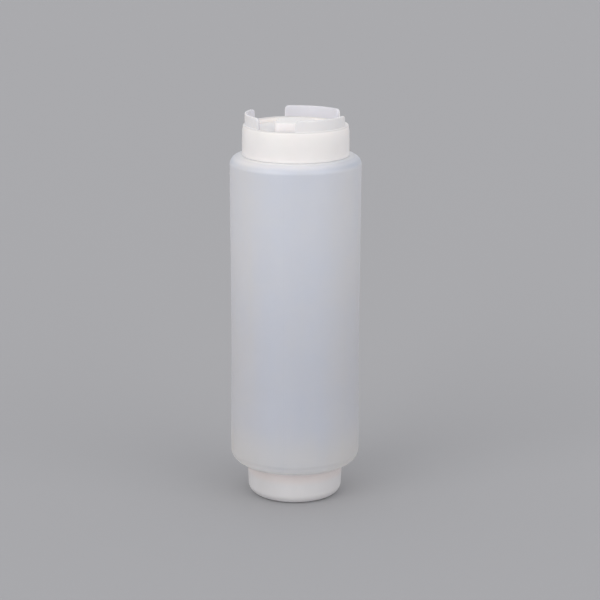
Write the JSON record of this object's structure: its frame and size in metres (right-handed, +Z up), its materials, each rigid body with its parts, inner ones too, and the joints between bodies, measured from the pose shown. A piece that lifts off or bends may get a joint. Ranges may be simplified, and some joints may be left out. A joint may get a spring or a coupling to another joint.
{
  "type": "dispensing sauce bottle",
  "caption": "Double-ended squeeze bottle for sauces: screw-on refill cap as its base, and a screw-on dispensing cap with feet, a slit valve and a hinged flip lid.",
  "frame": {"origin": "centre of the face that the bottle stands on, under the refill cap", "axes": "+Z up along the bottle's axis; -Y towards the viewer of the reference view, so the lid's hinge is on the +Y side"},
  "size_m": [0.0702, 0.0702, 0.21],
  "materials": {
    "bottle_polyethylene": "translucent natural polyethylene, satin",
    "cap_plastic": "white polypropylene, satin",
    "refill_cap_plastic": "natural white polypropylene, satin",
    "silicone": "clear-white silicone rubber"
  },
  "bodies": {
    "refill_cap": {"refill_cap": "refill_cap_plastic"},
    "refill_seal": {"refill_gasket": "silicone"},
    "bottle": {"bottle_body": "bottle_polyethylene"},
    "dispensing_seal": {"dispensing_gasket": "silicone"},
    "dispensing_cap": {"dispensing_cap": "cap_plastic", "slit_valve": "silicone", "valve_retainer": "cap_plastic"},
    "flip_lid": {"flip_lid": "cap_plastic"},
    "flap_1": {"valve_flap_1": "silicone"},
    "flap_2": {"valve_flap_2": "silicone"},
    "flap_3": {"valve_flap_3": "silicone"},
    "flap_4": {"valve_flap_4": "silicone"}
  },
  "joints": [
    {"name": "refill_turn", "type": "hinge", "parent": "refill_cap", "child": "refill_seal", "pos_m": [0, 0, 0.005], "axis": [0, 0, 1], "range_deg": [0, 1080]},
    {"name": "refill_rise", "type": "slide", "parent": "refill_seal", "child": "bottle", "axis": [0, 0, 1], "range_m": [0, 0.0128]},
    {"name": "cap_rise", "type": "slide", "parent": "bottle", "child": "dispensing_seal", "axis": [0, 0, 1], "range_m": [0, 0.0112]},
    {"name": "cap_turn", "type": "hinge", "parent": "dispensing_seal", "child": "dispensing_cap", "pos_m": [0, 0, 0.199], "axis": [0, 0, 1], "range_deg": [0, 936]},
    {"name": "lid_hinge", "type": "hinge", "parent": "dispensing_cap", "child": "flip_lid", "pos_m": [0, 0.013, 0.20337], "axis": [-1, 0, 0], "range_deg": [0, 130]},
    {"name": "valve_open", "type": "hinge", "parent": "dispensing_cap", "child": "flap_1", "pos_m": [0.0023, 0.0023, 0.19797], "axis": [-0.7071, 0.7071, 0], "range_deg": [0, 60], "stiffness_Nm_per_rad": 0.000003},
    {"name": "flap_2_bend", "type": "hinge", "parent": "dispensing_cap", "child": "flap_2", "pos_m": [-0.0023, 0.0023, 0.19797], "axis": [-0.7071, -0.7071, 0], "range_deg": [0, 60], "stiffness_Nm_per_rad": 0.000003},
    {"name": "flap_3_bend", "type": "hinge", "parent": "dispensing_cap", "child": "flap_3", "pos_m": [-0.0023, -0.0023, 0.19797], "axis": [0.7071, -0.7071, 0], "range_deg": [0, 60], "stiffness_Nm_per_rad": 0.000003},
    {"name": "flap_4_bend", "type": "hinge", "parent": "dispensing_cap", "child": "flap_4", "pos_m": [0.0023, -0.0023, 0.19797], "axis": [0.7071, 0.7071, 0], "range_deg": [0, 60], "stiffness_Nm_per_rad": 0.000003}
  ],
  "couplings": [
    {"joint": "refill_rise", "follows": "refill_turn", "m_per_rad": 0.00067376},
    {"joint": "cap_rise", "follows": "cap_turn", "m_per_rad": 0.00067376},
    {"joint": "flap_2_bend", "follows": "valve_open", "ratio": 1},
    {"joint": "flap_3_bend", "follows": "valve_open", "ratio": 1},
    {"joint": "flap_4_bend", "follows": "valve_open", "ratio": 1}
  ]
}
